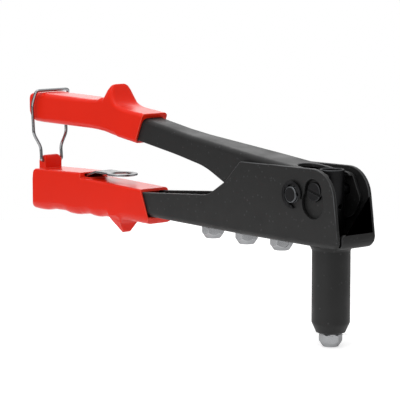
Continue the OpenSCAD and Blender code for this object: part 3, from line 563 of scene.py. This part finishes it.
def round_edges(bm, width, sharper_than=SHEARED_EDGE, abrasion_and_highlight_share=1.0, clamp=False):
    """Rounds each edge that is sharper than an angle in degrees, and marks its new faces with their share of
    edge abrasion and painted highlight.
    """
    abrasion_and_highlight = bm.faces.layers.float.new("abrasion_and_highlight")
    edges = [edge for edge in bm.edges if len(edge.link_faces) == 2
             and edge.calc_face_angle() > math.radians(sharper_than)]
    made = bmesh.ops.bevel(bm, geom=edges, offset=width, offset_type="OFFSET", segments=2, profile=0.5,
                           affect="EDGES", clamp_overlap=clamp)
    # the rounded faces carry edge abrasion and painted highlight, less at the keyholes
    for face in made["faces"]:
        face[abrasion_and_highlight] = HOLES_ABRASION_AND_HIGHLIGHT * abrasion_and_highlight_share if in_head(face) else abrasion_and_highlight_share
    return bm


def piece(name, bm, finish_name, body, node):
    """Makes a piece of a mesh, which rides on a body and stands for a CAD node."""
    mesh = bpy.data.meshes.new(name)
    bm.to_mesh(mesh)
    bm.free()
    mesh.shade_smooth()
    mesh.set_sharp_from_angle(angle=math.radians(CREASE))
    mesh.materials.append(finish(finish_name))
    obj = bpy.data.objects.new(name, mesh)
    bpy.context.scene.collection.objects.link(obj)
    weights = obj.modifiers.new("Face weights", "WEIGHTED_NORMAL")
    weights.keep_sharp = True
    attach(obj, body)
    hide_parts(node)


# Grips

def lower_grip_knots(sizes, back, width):
    """The lower grip's cross-sections: rounded rear, pad, finger grooves, deck and finger stop."""
    pad_x, pad_rear, pad_front = -sizes.pad_back / MM, sizes.pad_rear_h / MM, sizes.pad_front_h / MM
    deck, stop, depth = sizes.deck_h / MM, sizes.stop_reach / MM, sizes.finger_depth / MM
    full = (4.4, 5)
    knots = [section(back, width - 3.4, -4.4, 1), section(back + 0.5, width - 1.6, -5.6, 7),
             section(back + 1.2, width - 0.6, -6.2, 13, (3.4, 4)),
             section(back + 2.2, width, -6.4, pad_rear - 0.8, full),
             section(back + 3.4, width, -6.5, pad_rear, full)]

    # places along the underside, and the share of the finger depth there
    groove_end, groove_end_h, groove_fall = -181, -4.2, 0.014
    fingers = [(-247, 0.95), (-243, 1), (-238, 0.85), (-234, 0.4), (-230, 0.12), (-226, 0.12), (-221, 0.1),
               (-218, 0.4), (-214, 0.8), (-210, 0.85), (-206, 0.7), (pad_x, 0.32), (-198, 0), (-195.5, 0.05),
               (-192, 0.4), (-188, 0.5), (-184, 0.2), (groove_end, 0)]
    pad_step, deck_fall = 0.4, 0.022
    for x, share in fingers:
        low = groove_end_h + groove_fall * (x - groove_end) - depth * share
        if x <= pad_x:
            pad = pad_rear + (pad_front - pad_rear) * (x - back) / (pad_x - back)
            knots.append(section(x, width, low, pad, full))
        if x == pad_x:
            knots.append(section(x + pad_step, width, low, deck, full))
        if x > pad_x:
            knots.append(section(x, width, low, deck - deck_fall * (x - pad_x), full))

    # the finger stop and the neck: place, underside, fall of the deck and rounding of the lower corners
    for x, low, drop, corner in [
            (-177.2, -4.2, 0.5, full), (-175.4, -6.4, 0.6, (4.8, 5.6)), (-173.8, 3.6 - stop, 0.6, (5.8, 7)),
            (-172.3, 0.7 - stop, 0.7, (6.8, 8.8)), (-171.2, -stop, 0.7, (7, 9.2)),
            (-170.2, 1.2 - stop, 0.7, (6.8, 8.4)), (-169.1, 4.6 - stop, 0.8, (5.8, 6.4)),
            (-167.6, -6.2, 0.8, (4.8, 5.4)), (-163.6, -4.4, 0.9, full), (-156, -4.2, 1.1, full),
            (-146, -4.4, 1.4, full), (-134, -4.4, 1.7, full)]:
        knots.append(section(x, width, low, deck - drop, corner))
    return knots


def stop_side(side, width, stop):
    """The cut that lets one side of the finger stop slant in towards its tip."""
    rear, front = -182, -158
    top_y, top_z, spare = width / 2 + 0.2, -1.8, 3
    tip_y, tip_z, tip_slant = 3, 1 - stop, 0.7
    slant = [(top_y, top_z), (tip_y, tip_z), (tip_y - tip_slant, tip_z - spare),
             (top_y + spare, tip_z - spare), (top_y + spare, top_z)]
    return bar([(side * y, z) for y, z in slant], rear, front)


def wire_boss(sizes):
    """The boss that holds the wire, with a rounded rear and front."""
    wire_x, wire_h = -sizes.wire_back / MM, sizes.wire_h / MM
    top, base = wire_h + 3.2, sizes.pad_rear_h / MM - 3
    rear, rear_r = wire_x - 4.2, 3.4
    front, front_r = wire_x + 1.8, 2.4
    steps = 8
    turned = [math.pi / 2 * i / steps for i in range(steps + 1)]
    arcs = [(rear + rear_r * (1 - math.cos(a)), top - rear_r * (1 - math.sin(a))) for a in turned]
    arcs += [(front - front_r * (1 - math.sin(a)), top - front_r * (1 - math.cos(a))) for a in turned[1:]]
    return loft([section(x, sizes.boss_w / MM, base, z, SHARP, SOFT) for x, z in arcs], spacing=STRAIGHT)


def lower_socket():
    """The space that the lower arm fills in its grip, round the core that fills the arm's channel."""
    arm_x, arm_w, arm_h = ARM_END - FIT, 17.0, 6 + FIT
    bend_x, bend_h = -150, 13.26
    wide_x, wide_w, wide_h = -120, 20.2, 15.75
    core_end, above = -148.6, 30
    socket = loft([section(arm_x, arm_w + 2 * FIT, -FIT, arm_h, SHARP, SHARP),
                   section(bend_x, arm_w + 2 * FIT, -FIT, bend_h, SHARP, SHARP),
                   section(wide_x, wide_w, -FIT, wide_h, SHARP, SHARP)], spacing=STRAIGHT)
    core = block(arm_x - 1, core_end, arm_w - 2 * SHEET - 2 * FIT, SHEET + FIT, above)
    return combine(socket, core, "DIFFERENCE")


def lower_grip_mesh(sizes):
    """The lower grip: pad, spanner rest, deck, finger grooves, finger stop, wire boss and slanted mouth."""
    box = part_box("lower_grip")
    back = box[0].x / MM
    width = (box[1].y - box[0].y) / MM
    grip = loft(lower_grip_knots(sizes, back, width))
    for side in (-1, 1):
        grip = combine(grip, stop_side(side, width, sizes.stop_reach / MM), "DIFFERENCE")
    grip = combine(grip, wire_boss(sizes), "UNION")

    # rest under the spanner's tail
    pad_x, tail_h = -sizes.pad_back / MM, sizes.tail_h / MM
    tail_w, tail_t, tail_depth, seat_gap = 12.0, 1.2, 8, 0.2
    rest_reach, rest_base, overlap = 6, 12, 1
    rest = block(pad_x - overlap, pad_x + rest_reach, tail_w, rest_base, tail_h - seat_gap)
    grip = combine(grip, rest, "UNION")

    # socket for the steel arm, and the mouth, which slants over the arm's sides and under its floor
    grip = combine(grip, lower_socket(), "DIFFERENCE")
    mouth_x, beyond, under, over = -146.6, -100, -7, 30
    mouth = plate([(mouth_x, 17), (-139, -0.9), (-140.6, -3.2), (-144.2, under), (beyond, under),
                   (beyond, over), (mouth_x, over)], ACROSS)
    grip = combine(grip, mouth, "DIFFERENCE")

    # slit for the spanner's tail, and the wire's two holes
    slit = block(pad_x - tail_depth, pad_x + overlap, tail_w + 2 * seat_gap, tail_h - seat_gap,
                 tail_h + tail_t + seat_gap)
    grip = combine(grip, slit, "DIFFERENCE")
    wire_x, wire_h, boss_w = -sizes.wire_back / MM, sizes.wire_h / MM, sizes.boss_w / MM
    hole_d, hole_from = sizes.wire_d / MM + 0.2, 2
    for side in (-1, 1):
        hole = rod(wire_x, wire_h, hole_d, side * hole_from, side * boss_w)
        grip = combine(grip, hole, "DIFFERENCE")
    return grip


def upper_grip_knots(sizes, back, width):
    """The upper grip's cross-sections: rounded rear, saddle for the wire and thumb rest."""
    low, saddle, thumb = sizes.upper_low / MM, sizes.saddle_h / MM, sizes.thumb_h / MM
    crown, fin, full = (2.8, 3.2), (6.2, 10.2), (3.2, 3.6)
    full_end = -170
    knots = [section(back, width - 3, low + 8, saddle - 3.1, (2, 3), SOFT),
             section(back + 0.5, width - 1.4, low + 6, saddle - 2, (2.4, 3), SOFT),
             section(back + 1.4, width - 0.4, low + 3.6, saddle - 1.3, (2.8, 3.2), SOFT),
             section(back + 2.8, width, low + 1.6, saddle - 0.8, full, crown),
             section(back + 5, width, low + 0.4, saddle - 0.4, full, crown)]
    # place, drop of the underside, top and rounding of the upper corners
    for x, drop, high, corner in [
            (-244, -0.2, saddle - 0.1, crown), (-241.4, -0.1, saddle, crown),
            (-236, -0.1, saddle - 0.3, crown), (-215, 0, saddle - 0.6, crown), (-196, 0, saddle - 0.9, SOFT),
            (-188, 0.3, saddle - 0.5, SOFT), (-184.6, 0.6, saddle + 0.6, SOFT),
            (-182, 0.8, thumb - 7.9, full), (-180.4, 1.1, thumb - 4.9, (4.4, 6)),
            (-179, 1.3, thumb - 1.8, (5.6, 9)),
            (-177.8, 1.5, thumb - 0.3, fin), (-176.8, 1.7, thumb - 0.2, fin),
            (-175.8, 1.9, thumb - 1.6, (5.8, 9)), (-174.6, 2.1, thumb - 4.4, (4.6, 6.6)),
            (-173.1, 2.3, thumb - 7.4, (3.4, 4.2)), (-171.2, 2.6, thumb - 10, (2.8, 3)),
            (-168.4, 3, saddle - 2.9, SOFT), (-164, 3.6, saddle - 4.1, SOFT), (-156, 4.6, saddle - 5, SOFT),
            (-140, 6.8, saddle - 6.5, SOFT)]:
        knots.append(section(x, width, low - drop, high, full if x < full_end else SOFT, corner))
    return knots


def upper_socket():
    """The space that the upper arm fills in its grip, round the core that fills the arm's channel."""
    arm_x, arm_w, bend = ARM_END - FIT, 15.4, (3.1, 3.1)
    core_back, core_end, below = ARM_END - 2, -153.9, 40
    under = [(arm_x, 48.5), (-185, 47.3), (-140, 40.4)]
    tops = [(arm_x, 59.6), (-180, 58.8), (-164, 57.7), (-150, 55.9), (-140, 54.3)]
    places = sorted({x for x, _ in under + tops})
    socket = loft([section(x, arm_w + 2 * FIT, line_at(under, x), line_at(tops, x) + FIT, SHARP, bend)
                   for x in places], spacing=STRAIGHT, corner_steps=5)
    core_tops = [(x, line_at(tops, x) - SHEET - FIT) for x in (core_back, -180, -164, core_end)]
    core = plate([*core_tops, (core_end, below), (core_back, below)], arm_w - 2 * SHEET - 2 * FIT)
    return combine(socket, core, "DIFFERENCE")


def upper_grip_mesh(sizes):
    """The upper grip: rounded rear, saddle for the wire, thumb rest and slanted mouth."""
    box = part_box("upper_grip")
    back = box[0].x / MM
    width = (box[1].y - box[0].y) / MM
    grip = loft(upper_grip_knots(sizes, back, width))
    grip = combine(grip, upper_socket(), "DIFFERENCE")
    beyond, under, over = -120, 36, 64
    mouth = plate([(-151.9, under), (-151.5, 41), (-144.7, 56.6), (-144.3, over), (beyond, over),
                   (beyond, under)], ACROSS)
    return combine(grip, mouth, "DIFFERENCE")


def line_at(points, x):
    """Height of a broken line at x, level beyond its ends."""
    if x <= points[0][0]:
        return points[0][1]
    for (x0, z0), (x1, z1) in zip(points, points[1:]):
        if x <= x1:
            return z0 + (z1 - z0) * (x - x0) / (x1 - x0)
    return points[-1][1]


# Wires

def latch_wire_mesh(sizes):
    """The latch wire: two feet in the boss, two spread legs and the bar over the upper grip."""
    diameter = sizes.wire_d / MM
    x, z = -sizes.wire_back / MM, sizes.wire_h / MM
    foot_y, boss_gap, saddle_gap = 2.4, 0.3, 0.2
    leg_y = sizes.boss_w / MM / 2 + diameter / 2 + boss_gap
    wide_y = sizes.wire_w / MM / 2
    bar_z = sizes.saddle_h / MM + diameter / 2 + saddle_gap
    spread_start, spread_end, lean = 8, 16, 2.6
    hook, hook_h = 1.5, 8.5
    half = [(x, foot_y, z), (x, leg_y, z), (x - lean / 4, leg_y, z + spread_start),
            (x - lean / 2, wide_y, z + spread_end), (x - lean, wide_y, bar_z - hook_h),
            (x + hook, wide_y, bar_z)]
    corners = [at(*p) for p in half] + [at(px, -py, pz) for px, py, pz in reversed(half)]
    foot_bend, leg_bend = 1.2, 2.4
    reaches = [foot_bend, *[leg_bend] * (len(corners) - 4), foot_bend]
    return tube(eased_path(corners, reaches), diameter)


def jaw_spring_mesh():
    """The compression spring behind the pusher, coiled up its node's box."""
    wire, turns = 1.0, 6
    low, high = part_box("jaw_spring")
    radius = (high.x - low.x) / MM / 2 - wire / 2
    z0, z1 = low.z / MM - FLOOR + wire / 2, high.z / MM - FLOOR - wire / 2
    coil = [at(radius * math.cos(2 * math.pi * i / PER_TURN), radius * math.sin(2 * math.pi * i / PER_TURN),
               z0 + (z1 - z0) * i / PER_TURN / turns) for i in range(PER_TURN * turns + 1)]
    return tube(coil, wire, SPRING_SIDES)


def opening_spring_mesh():
    """The torsion spring on the pivot pin, with a leg on the lower arm's floor and one under the web."""
    wire, turns, radius = 1.4, 4.5, 5.5
    pin_x, pin_z = -15.0, 25.9
    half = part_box("opening_spring")[1].y / MM - wire / 2
    count = round(PER_TURN * turns)
    turned = [-math.pi / 2 - 2 * math.pi * i / PER_TURN for i in range(count + 1)]
    coil = [at(pin_x + radius * math.cos(a), -half + 2 * half * i / count, pin_z + radius * math.sin(a))
            for i, a in enumerate(turned)]
    # each leg's end lies a sheet, half a wire and a little air inside the arm's outer face
    floor_leg_x, web_leg_x, inside = -31, -35, 2.9
    web_top = [(-48, 43.0), (12, 36.9)]
    floor_end = at(floor_leg_x, -half, inside)
    web_end = at(web_leg_x, half, line_at(web_top, web_leg_x) - inside)
    return tube([floor_end, *coil, web_end], wire, SPRING_SIDES)


# Studio

def shown(tree):
    """1 for the rays that show the background itself: the camera's, and those of gloss and glass."""
    path = add(tree, "ShaderNodeLightPath")
    some = add(tree, "ShaderNodeMath",
               links={0: path.outputs["Is Camera Ray"], 1: path.outputs["Is Glossy Ray"]},
               operation="MAXIMUM")
    every = add(tree, "ShaderNodeMath",
                links={0: some.outputs[0], 1: path.outputs["Is Transmission Ray"]},
                operation="MAXIMUM")
    return every.outputs[0]


def white_room(studio):
    """A world that lights the riveter evenly and looks white behind it."""
    world = bpy.data.worlds.new("white_room")
    world.use_nodes = True
    tree = world.node_tree
    tree.nodes.clear()
    room = add(tree, "ShaderNodeBackground", {"Color": WHITE, "Strength": studio.room})
    # gloss shows dim walls that rise to a white ceiling, as in a real studio
    ray = add(tree, "ShaderNodeTexCoord").outputs["Generated"]
    height = add(tree, "ShaderNodeSeparateXYZ", links={0: ray}).outputs["Z"]
    walls = add(tree, "ShaderNodeMapRange",
                {"From Min": 0.05, "From Max": 0.5, "To Min": studio.walls, "To Max": 1.0},
                {"Value": height})
    path = add(tree, "ShaderNodeLightPath")
    brightness = add(tree, "ShaderNodeMath",
                     links={0: path.outputs["Is Camera Ray"], 1: walls.outputs["Result"]},
                     operation="MAXIMUM")
    white = add(tree, "ShaderNodeBackground", {"Color": WHITE}, {"Strength": brightness.outputs[0]})
    mixed = add(tree, "ShaderNodeMixShader", links={0: shown(tree), 1: room.outputs[0], 2: white.outputs[0]})
    add(tree, "ShaderNodeOutputWorld", links={"Surface": mixed.outputs[0]})
    return world


def matt_floor_finish(studio):
    """A pale matt floor, which is lifted towards white where it shows and keeps its shade."""
    material = bpy.data.materials.new("pale_matt_floor")
    material.use_nodes = True
    tree = material.node_tree
    tree.nodes.clear()
    matt = add(tree, "ShaderNodeBsdfDiffuse", {"Color": (0.8, 0.8, 0.8, 1.0)})
    lift = add(tree, "ShaderNodeMath", {1: studio.floor_lift}, {0: shown(tree)}, operation="MULTIPLY")
    glow = add(tree, "ShaderNodeEmission", links={"Strength": lift.outputs[0]})
    both = add(tree, "ShaderNodeAddShader", links={0: matt.outputs[0], 1: glow.outputs[0]})
    add(tree, "ShaderNodeOutputMaterial", links={"Surface": both.outputs[0]})
    return material


def lay_floor(studio, target):
    """Lays the round floor under the target, just below the riveter."""
    gap = 0.1
    bm = bmesh.new()
    bmesh.ops.create_circle(bm, cap_ends=True, segments=96, radius=studio.floor_radius)
    mesh = bpy.data.meshes.new("studio_floor")
    bm.to_mesh(mesh)
    bm.free()
    mesh.materials.append(matt_floor_finish(studio))
    floor = bpy.data.objects.new("studio_floor", mesh)
    floor.location = (target.x, target.y, CAD_BOX[0].z - gap * MM)
    bpy.context.scene.collection.objects.link(floor)


def hang_lamps(studio, target):
    """Hangs three soft square lamps, which face the target."""
    # name, power in watts, width and place in metres
    lamps = (("top_light", studio.top_power, 1.2, (-0.1, -0.15, 1.4)),
             ("side_light", studio.side_power, 1.0, (0.1, -1.4, 0.55)),
             ("back_light", studio.back_power, 1.2, (-1.3, 1.0, 0.62)))
    for name, watts, width, place in lamps:
        light = bpy.data.lights.new(name, "AREA")
        light.energy = watts
        light.size = width
        lamp = bpy.data.objects.new(name, light)
        lamp.visible_camera = False
        lamp.location = place
        lamp.rotation_euler = (target - lamp.location).to_track_quat("-Z", "Y").to_euler()
        bpy.context.scene.collection.objects.link(lamp)


def place_camera(studio, target):
    """Places the camera at the photograph's viewing angle."""
    data = bpy.data.cameras.new("camera")
    data.lens = studio.lens
    data.sensor_width = 36.0
    data.clip_end = 20.0
    camera = bpy.data.objects.new("camera", data)
    flat = math.cos(studio.elevation)
    back = Vector((math.sin(studio.azimuth) * flat, -math.cos(studio.azimuth) * flat,
                   math.sin(studio.elevation)))
    camera.location = target + back * studio.distance
    camera.rotation_euler = (-back).to_track_quat("-Z", "Y").to_euler()
    bpy.context.scene.collection.objects.link(camera)
    bpy.context.scene.camera = camera


# Operators

class RIVETER_OT_arms(bpy.types.Operator):
    """Dress the two sheet-steel arms"""
    bl_idname = "riveter.arms"
    bl_label = "Steel arms"

    def execute(self, context):
        width = context.scene.riveter_edges.sheet
        for node, body in (("body_frame", "frame"), ("lever_arm", "lever")):
            piece(f"{node}_sheet", round_edges(cad_copy(node), width), "enamel", body, node)
        return {"FINISHED"}


class RIVETER_OT_barrel(bpy.types.Operator):
    """Dress the barrel under the head"""
    bl_idname = "riveter.barrel"
    bl_label = "Barrel"

    def execute(self, context):
        bm = round_edges(cad_copy("barrel"), context.scene.riveter_edges.turned)
        piece("barrel_sleeve", bm, "enamel", "frame", "barrel")
        return {"FINISHED"}


class RIVETER_OT_nosepieces(bpy.types.Operator):
    """Dress the fitted nosepiece and the three spares"""
    bl_idname = "riveter.nosepieces"
    bl_label = "Nosepieces"

    def execute(self, context):
        width = context.scene.riveter_edges.plated
        for rivet in (24, 32, 40, 48):
            node = f"nosepiece_{rivet}"
            bm = round_edges(cad_copy(node), width, CHAMFERED_EDGE)
            piece(f"{node}_hex", bm, "zinc", node, node)
        return {"FINISHED"}


class RIVETER_OT_pivot(bpy.types.Operator):
    """Dress the pivot pin, its clip, the trunnion screws and the jaw carrier"""
    bl_idname = "riveter.pivot"
    bl_label = "Pin, clip, screws and carrier"

    def execute(self, context):
        width = context.scene.riveter_edges.turned
        # node, its body and slot, and its share of edge abrasion and painted highlight
        for node, body, slot, abrasion_and_highlight_share in (
                ("pivot_pin", "frame", "bare_steel", 0.4), ("retaining_clip", "frame", "bare_steel", 0.3),
                ("trunnion_screw_near", "jaw_head", "bare_steel", 0.35),
                ("trunnion_screw_far", "jaw_head", "bare_steel", 0.35),
                ("jaw_carrier", "jaw_head", "black_steel", 0.15)):
            bm = round_edges(cad_copy(node), width, abrasion_and_highlight_share=abrasion_and_highlight_share, clamp=(node == "retaining_clip"))
            piece(f"{node}_turned", bm, "oxide", body, node)
        return {"FINISHED"}


class RIVETER_OT_grips(bpy.types.Operator):
    """Mould the two red grips"""
    bl_idname = "riveter.grips"
    bl_label = "Moulded grips"

    def execute(self, context):
        sizes = context.scene.riveter_grips
        width = context.scene.riveter_edges.moulded
        for node, body, bm in (("lower_grip", "frame", lower_grip_mesh(sizes)),
                               ("upper_grip", "lever", upper_grip_mesh(sizes))):
            bm = round_edges(clean(bm, CUT_WELD), width)
            piece(f"{node}_moulding", bm, "plastic", body, node)
        return {"FINISHED"}


class RIVETER_OT_wires(bpy.types.Operator):
    """Bend the latch wire and coil the two springs"""
    bl_idname = "riveter.wires"
    bl_label = "Latch wire and springs"

    def execute(self, context):
        for name, bm, body, node in (
                ("lock_wire_bent", latch_wire_mesh(context.scene.riveter_grips), "lock_wire", "lock_wire"),
                ("jaw_spring_coil", jaw_spring_mesh(), "jaw_head", "jaw_spring"),
                ("opening_spring_coil", opening_spring_mesh(), "frame", "opening_spring")):
            piece(name, bm, "zinc", body, node)
        return {"FINISHED"}


class RIVETER_OT_spanner(bpy.types.Operator):
    """Dress the stamped spanner"""
    bl_idname = "riveter.spanner"
    bl_label = "Spanner"

    def execute(self, context):
        bm = round_edges(cad_copy("spanner"), context.scene.riveter_edges.plated, CHAMFERED_EDGE)
        piece("spanner_stamping", bm, "zinc", "spanner", "spanner")
        return {"FINISHED"}


class RIVETER_OT_jaws(bpy.types.Operator):
    """Finish the jaws, their case and the pusher, which keep their CAD shape"""
    bl_idname = "riveter.jaws"
    bl_label = "Jaws and case"

    def execute(self, context):
        for node in ("jaw_case", "jaw_front", "jaw_rear", "jaw_pusher"):
            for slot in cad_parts[node].material_slots:
                slot.material = finish("steel")
        return {"FINISHED"}


class RIVETER_OT_studio(bpy.types.Operator):
    """Set up the pale floor, the soft light and the camera"""
    bl_idname = "riveter.studio"
    bl_label = "Studio"

    def execute(self, context):
        scene = context.scene
        studio = scene.riveter_studio
        scene.view_settings.view_transform = "Standard"
        # the middle of the photograph's frame
        target = Vector((-105.14, 0.0, 65.43)) * MM
        scene.world = white_room(studio)
        lay_floor(studio, target)
        hang_lamps(studio, target)
        place_camera(studio, target)
        return {"FINISHED"}


class RIVETER_PT_panel(bpy.types.Panel):
    """Lists the riveter's sizes, colours and steps."""
    bl_idname = "RIVETER_PT_panel"
    bl_label = "Hand riveter"
    bl_space_type = "VIEW_3D"
    bl_region_type = "UI"
    bl_category = "Riveter"

    def draw(self, context):
        for group in GROUPS:
            values = getattr(context.scene, group)
            box = self.layout.box()
            for name in values.__annotations__:
                box.prop(values, name)
        for operator in OPERATORS:
            self.layout.operator(operator.bl_idname)


GROUPS = {
    "riveter_edges": RiveterEdges,
    "riveter_grips": RiveterGrips,
    "riveter_colours": RiveterColours,
    "riveter_studio": RiveterStudio,
}
OPERATORS = (RIVETER_OT_arms, RIVETER_OT_barrel, RIVETER_OT_nosepieces, RIVETER_OT_pivot, RIVETER_OT_grips,
             RIVETER_OT_wires, RIVETER_OT_spanner, RIVETER_OT_jaws, RIVETER_OT_studio)


def register():
    """Registers the classes and hangs the sizes and colours on the scene."""
    for item in (*GROUPS.values(), *OPERATORS, RIVETER_PT_panel):
        bpy.utils.register_class(item)
    for name, group in GROUPS.items():
        setattr(bpy.types.Scene, name, bpy.props.PointerProperty(type=group))


def unregister():
    """Takes the sizes, colours and classes away again."""
    for name in GROUPS:
        delattr(bpy.types.Scene, name)
    for item in reversed((*GROUPS.values(), *OPERATORS, RIVETER_PT_panel)):
        bpy.utils.unregister_class(item)


def main():
    """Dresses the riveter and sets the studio."""
    register()
    bpy.ops.riveter.arms()
    bpy.ops.riveter.barrel()
    bpy.ops.riveter.nosepieces()
    bpy.ops.riveter.pivot()
    bpy.ops.riveter.grips()
    bpy.ops.riveter.wires()
    bpy.ops.riveter.spanner()
    bpy.ops.riveter.jaws()
    bpy.ops.riveter.studio()


if __name__ == "__main__":
    main()
